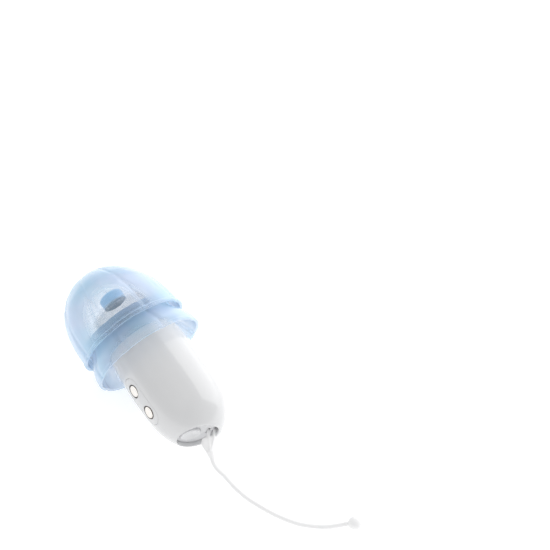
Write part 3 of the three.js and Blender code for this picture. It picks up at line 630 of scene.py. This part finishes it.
def make_tail_root():
    """Two strands come up on either side of the bar and run into a web that narrows to the cord."""
    end = SLANT.inverted() @ (Vector(TAIL_ROUTE[0]) * MM)
    near = SLANT.inverted() @ (Vector(TAIL_ROUTE[1]) * MM)
    tip = end.lerp(near, 0.35)
    web_end = [(-0.2, -3.9, -7.0), (-0.85, -5.3, -10.4), tuple(end), tuple(tip)]
    end_radii = [2.2, CORD / 2 + 0.1, CORD / 2 + 0.02, CORD / 2]
    leg_radii = [0.75, 0.78, 0.8, 0.85, 0.9, 0.9, 0.8]
    inner_leg = [(-0.9, 0, 4.2), (-0.8, 0, 2.2), (-0.6, -0.5, 0.6), (-0.3, -1.5, -1.4), (-0.2, -2.6, -3.8)]
    outer_leg = [(-4.1, 0, 4.2), (-4.0, 0, 2.2), (-3.6, -0.5, 0.6), (-2.9, -1.5, -1.4), (-2.0, -2.6, -3.8)]
    web = [(-2.2, -1.0, -0.2), (-0.9, -1.4, -0.9), (0.0, -2.5, -3.2)]
    loop = [(-4.1, -0.2, 4.3), (-2.4, -0.1, 4.75), (-0.9, -0.2, 4.3)]
    parts = [
        strand([*inner_leg, *web_end[:2]], leg_radii),
        strand([*outer_leg, *web_end[:2]], leg_radii),
        strand([*web, *web_end], [1.3, 3.7, 3.9, *end_radii], flat=0.22),
        strand(web_end, end_radii),
        strand(loop, [0.7, 0.7, 0.7]),
    ]
    points, faces = [], []
    for part_points, part_faces in parts:
        faces += [tuple(i + len(points) for i in face) for face in part_faces]
        points += part_points
    root = piece("tail_fork", points, faces, SLANT, None, None)
    melt = root.modifiers.new("melt", "REMESH")
    melt.mode = "VOXEL"
    melt.voxel_size = WEB_GRAIN * MM
    relax = root.modifiers.new("relax", "SMOOTH")
    relax.iterations = 6
    settle(root)
    finish_piece(root, "tail", "aspirator", "tail_root", sharp=180)
    return root


def make_cord():
    curve = bpy.data.curves.new("tail_strand", "CURVE")
    curve.dimensions = "3D"
    curve.bevel_depth = CORD / 2 * MM
    curve.bevel_resolution = 6
    curve.resolution_u = 12
    curve.use_fill_caps = True
    spline = curve.splines.new("BEZIER")
    spline.bezier_points.add(len(TAIL_ROUTE) - 1)
    for point, place in zip(spline.bezier_points, TAIL_ROUTE):
        point.co = Vector(place) * MM
        point.handle_left_type = point.handle_right_type = "AUTO"
    cord = bpy.data.objects.new("tail_strand", curve)
    bpy.context.scene.collection.objects.link(cord)
    curve.materials.append(MATERIALS["tail"])
    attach(cord, "aspirator")
    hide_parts("tail_cord")
    return cord


def make_ball():
    """The ball is moulded on the cord's end, with a short neck and a faint parting line."""
    along = (Vector(BALL_CENTRE) - Vector(TAIL_ROUTE[-1])).normalized()
    matrix = ROW @ Matrix.Translation(BALL_CENTRE) @ along.to_track_quat("Z", "Y").to_matrix().to_4x4()
    radius = BALL / 2
    outline = [(0, -radius - 1.2), (CORD / 2 + 0.02, -radius - 1.2), (CORD / 2 + 0.05, -radius - 0.4)]
    steps = 36
    for i in range(4, steps + 1):
        turn = math.pi * i / steps
        parting = 0.06 if abs(turn - math.pi / 2) > 0.03 else 0
        outline.append(((radius - parting) * math.sin(turn), -(radius - parting) * math.cos(turn)))
    points, faces = turned(outline, 64)
    return piece("ball_end", points, faces, matrix, "tail", "aspirator", "tail_ball", sharp=60)


def make_tail():
    root = make_tail_root()
    cord = make_cord()
    ball = make_ball()


# ---- Hood ----------------------------------------------------------------------------------------


def gored(radius, z, turn):
    """The radius pulled in along the creases between the gores. Pieces near the axis stay round."""
    if radius < WAIST_RADIUS - HOOD_WALL - CREASE and z < CROWN_Z - 10:
        return radius
    step = 2 * math.pi / GORES
    away = abs((turn + step / 2) % step - step / 2)
    crease = math.exp(-((away / math.radians(2.6)) ** 2))
    flatness = 0.45 * (1 - math.cos(away * GORES)) / 2
    fade = min(1.0, radius / 9)
    return radius - fade * (CREASE * crease + 0.25 - flatness * 0.5)


def leaning(points, fixed_radius=0.0):
    """The hood's points, moved towards the contacts as it leans, but for those inside fixed_radius."""
    moved = []
    for x, y, z in points:
        lean = RIM_LEAN + LEAN_RISE * (min(z, LEAN_TOP_Z) - RIM_Z)
        moved.append((x + (0 if math.hypot(x, y) < fixed_radius else lean), y, z))
    return moved


def dome_radius(z, inset=0.0):
    height = DOME_HEIGHT - inset * 1.6
    up = min(1.0, max(0.0, (z - LIP_Z) / height))
    return (DOME_RADIUS - inset) * (1 - up**FULLNESS) ** (1 / FULLNESS)


def make_dome():
    outer = []
    crown = math.asin((CROWN_Z - LIP_Z) / DOME_HEIGHT)
    rings = 26
    for i in range(1, rings + 1):
        z = LIP_Z + DOME_HEIGHT * math.sin(i / rings * crown)
        outer.append((dome_radius(z), z))
    crown_rings = 14
    for i in range(crown_rings + 1):
        turn = crown + i / crown_rings * (math.pi / 2 - crown)
        z = LIP_Z + DOME_HEIGHT * math.sin(turn)
        outer.append((max(0.0, dome_radius(z) - CROWN_STEP * (1 - i / crown_rings)), z))
    inner = []
    height = DOME_HEIGHT - 1.6 * HOOD_WALL
    inner_rings = 30
    for i in range(inner_rings, 0, -1):
        z = LIP_Z + height * math.sin(i / inner_rings * math.pi / 2)
        inner.append((dome_radius(z, HOOD_WALL), z))
    lip = [
        (LIP_RADIUS - HOOD_WALL - 0.35, LIP_Z, 0.4),
        (LIP_RADIUS - HOOD_WALL, LIP_Z - 1, 0.5),
        (LIP_RADIUS, LIP_Z - 1, 0.8),
        (LIP_RADIUS, LIP_Z + 0.7, 0.6),
    ]
    points, faces = turned(rounded([*lip, *outer, *inner], 5), GORES * 26, gored)
    piece("dome", leaning(points), faces, LOCAL, "hood", "hood", "hood_dome", sharp=50)


def make_skirt():
    def bell(inset):
        rings = 18
        section = []
        for i in range(rings + 1):
            share = i / rings
            z = RIM_Z + 1.6 + (LIP_Z + 1 - RIM_Z - 1.6) * share
            flare = math.cos(share * math.pi / 2) ** 1.2
            section.append((WAIST_RADIUS + (RIM_RADIUS - 0.1 - WAIST_RADIUS) * flare - inset, z))
        return section

    top = SHELF_Z + SHELF_THICK
    joint = dome_radius(top, HOOD_WALL) - 0.3 - CREASE
    collar = casing_radius(COLLAR_Z) + GAP
    corners = [
        (RIM_RADIUS - HOOD_WALL, RIM_Z + 0.1, 0.6),
        (RIM_RADIUS, RIM_Z, 0.8),
        (RIM_RADIUS, RIM_Z + 1.3, 0.5),
        *bell(0),
        (WAIST_RADIUS, SHELF_Z, 0.6),
        (joint, top, 0.4),
        (joint - HOOD_WALL, top + 0.3, 0.3),
        (WAIST_RADIUS - HOOD_WALL, top),
        (collar, top, 0.3),
        (collar, COLLAR_Z, 0.3),
        (collar + COLLAR_WALL, COLLAR_Z, 0.5),
        (collar + COLLAR_WALL, SHELF_Z),
        (WAIST_RADIUS - HOOD_WALL, SHELF_Z, 0.5),
        *reversed(bell(HOOD_WALL)),
    ]
    points, faces = turned(rounded(corners, 5), GORES * 26, gored)
    points = leaning(points, collar + COLLAR_WALL + GAP)
    piece("skirt", points, faces, LOCAL, "hood", "hood", "hood_skirt", sharp=50)


# ---- Cup and nose tip ----------------------------------------------------------------------------


def make_cup():
    seat = CASING_TOP + 0.3
    spigot = casing_radius(CASING_TOP, WALL) - 0.3

    def shoulder(radius, neck, top):
        steps = 14
        section = []
        for i in range(steps + 1):
            turn = i / steps * math.pi / 2
            z = SHOULDER_Z + (top - SHOULDER_Z) * math.sin(turn)
            section.append((neck + (radius - neck) * math.cos(turn), z))
        return section

    outer = CUP_RADIUS - 0.6
    corners = [
        (spigot, SPIGOT_Z, 0.3),
        (spigot, seat),
        (CUP_RADIUS, seat, 0.3),
        (CUP_RADIUS, SHOULDER_Z - 4, 1),
        *shoulder(outer, NECK_RADIUS, NECK_Z),
        (NECK_RADIUS, NECK_Z + 2, 0.3),
        (NECK_RADIUS - CUP_WALL, NECK_Z + 2, 0.3),
        *reversed(shoulder(outer - CUP_WALL, NECK_RADIUS - CUP_WALL, NECK_Z - CUP_WALL)),
        (CUP_RADIUS - CUP_WALL, SHOULDER_Z - 4, 1),
        (spigot - CUP_WALL, seat + CUP_WALL, 1),
        (spigot - CUP_WALL, SPIGOT_Z, 0.3),
    ]
    points, faces = turned(rounded(corners), 96)
    piece("cup", points, faces, LOCAL, "clear_plastic", "collection_cup", "collection_cup")


def make_nose_tip():
    inner = NECK_RADIUS + GAP
    middle = (NECK_Z + 2 + NOSE_TOP) / 2
    steps = 14
    bulb = []
    for i in range(2, steps + 1):
        turn = i / steps * math.pi / 2
        radius = NOSE_BORE + (NOSE_RADIUS - NOSE_BORE) * math.cos(turn)
        bulb.append((radius, middle + (NOSE_TOP - middle) * math.sin(turn)))
    corners = [
        (inner, NECK_Z + 0.3, 0.1),
        (inner + 0.9, NECK_Z + 0.3, 0.3),
        (NOSE_RADIUS, middle - 1.4, 1.2),
        *bulb,
        (NOSE_BORE, NECK_Z + 2.3, 0.2),
        (inner, NECK_Z + 2.3, 0.2),
    ]
    points, faces = turned(rounded(corners), 72)
    piece("tip", points, faces, LOCAL, "soft_tip", "collection_cup", "nose_tip")


# ---- Pieces that keep their CAD shape ------------------------------------------------------------


def finish_cad_nodes():
    """Gives each CAD node that stays the finish that the record names for it."""
    slots = {part["node"]: part["material_slot"] for part in frame["record"]["subparts"]}
    for name, node in frame["nodes"].items():
        smooth(node, 32)
        node.data.materials.clear()
        node.data.materials.append(MATERIALS[slots[name]])


# ---- Floor, light and camera ---------------------------------------------------------------------

AZIMUTH = math.radians(53.8)
ELEVATION = math.radians(49.4)
DISTANCE = 1100  # from the camera to the object
LENS = 150
SENSOR = 36
AIM_RIGHT = 34.56  # where the camera aims, from the middle of the slanted face
AIM_UP = 73.44
FACE_Z = 4.5  # the height of that middle along the casing's axis

FLOOR_HALF = 3  # metres
FLOOR_GLOW = 0.42
WORLD_STRENGTH = 0.72
KEY_POWER = 3.6
FILL_POWER = 0.5


def make_stage():
    half = FLOOR_HALF
    corners = [(-half, -half, 0), (half, -half, 0), (half, half, 0), (-half, half, 0)]
    mesh = bpy.data.meshes.new("floor")
    mesh.from_pydata(corners, [], [(0, 1, 2, 3)])
    floor = bpy.data.objects.new("floor", mesh)
    bpy.context.scene.collection.objects.link(floor)
    nodes = Nodes("floor_white")
    nodes.set(Base_Color=(0.9, 0.9, 0.9, 1), Roughness=0.7)
    nodes.set(Emission_Color=(1, 1, 1, 1), Emission_Strength=FLOOR_GLOW)
    mesh.materials.append(nodes.material)


def view_axes():
    toward = Vector((
        math.sin(AZIMUTH) * math.cos(ELEVATION),
        -math.cos(AZIMUTH) * math.cos(ELEVATION),
        math.sin(ELEVATION),
    ))
    right = Vector((math.cos(AZIMUTH), math.sin(AZIMUTH), 0))
    return toward, right, toward.cross(right)


def make_camera():
    """The casing's slanted face lies left of and below the middle of the view."""
    toward, right, up = view_axes()
    face = LOCAL @ Vector((0, 0, FACE_Z))
    aim = face + (right * AIM_RIGHT + up * AIM_UP) * MM
    data = bpy.data.cameras.new("camera")
    data.lens = LENS
    data.sensor_width = SENSOR
    camera = bpy.data.objects.new("camera", data)
    camera.location = aim + toward * DISTANCE * MM
    camera.rotation_euler = toward.to_track_quat("Z", "Y").to_euler()
    bpy.context.scene.collection.objects.link(camera)
    bpy.context.scene.camera = camera


def softbox(name, along, size, power, distance=0.7, target=Vector((0.0, 0.0, 0.02))):
    data = bpy.data.lights.new(name, "AREA")
    data.shape = "RECTANGLE"
    data.size, data.size_y = size
    data.energy = power
    light = bpy.data.objects.new(name, data)
    light.location = target + along.normalized() * distance
    light.rotation_euler = along.to_track_quat("Z", "Y").to_euler()
    bpy.context.scene.collection.objects.link(light)


def make_light():
    """A long softbox behind draws the bright band down the casing; a wide dim one fills the front."""
    toward, right, up = view_axes()
    softbox("key", Vector((-0.12, 0.88, 0.5)), (1.1, 0.85), KEY_POWER)
    softbox("fill", toward * 0.8 + up * 0.3 - right * 0.3, (0.9, 0.9), FILL_POWER, distance=0.9)
    world = bpy.data.worlds.new("studio")
    world.use_nodes = True
    background = world.node_tree.nodes["Background"]
    background.inputs["Color"].default_value = (1, 1, 1, 1)
    background.inputs["Strength"].default_value = WORLD_STRENGTH
    bpy.context.scene.world = world
    bpy.context.scene.view_settings.view_transform = "Standard"


# ---- The whole scene -----------------------------------------------------------------------------

make_camera()
make_stage()
make_light()
finish_cad_nodes()
make_tail()
make_casing()
make_pad()
make_contacts()
make_base_cap()
make_button()
make_cup()
make_nose_tip()
make_dome()
make_skirt()
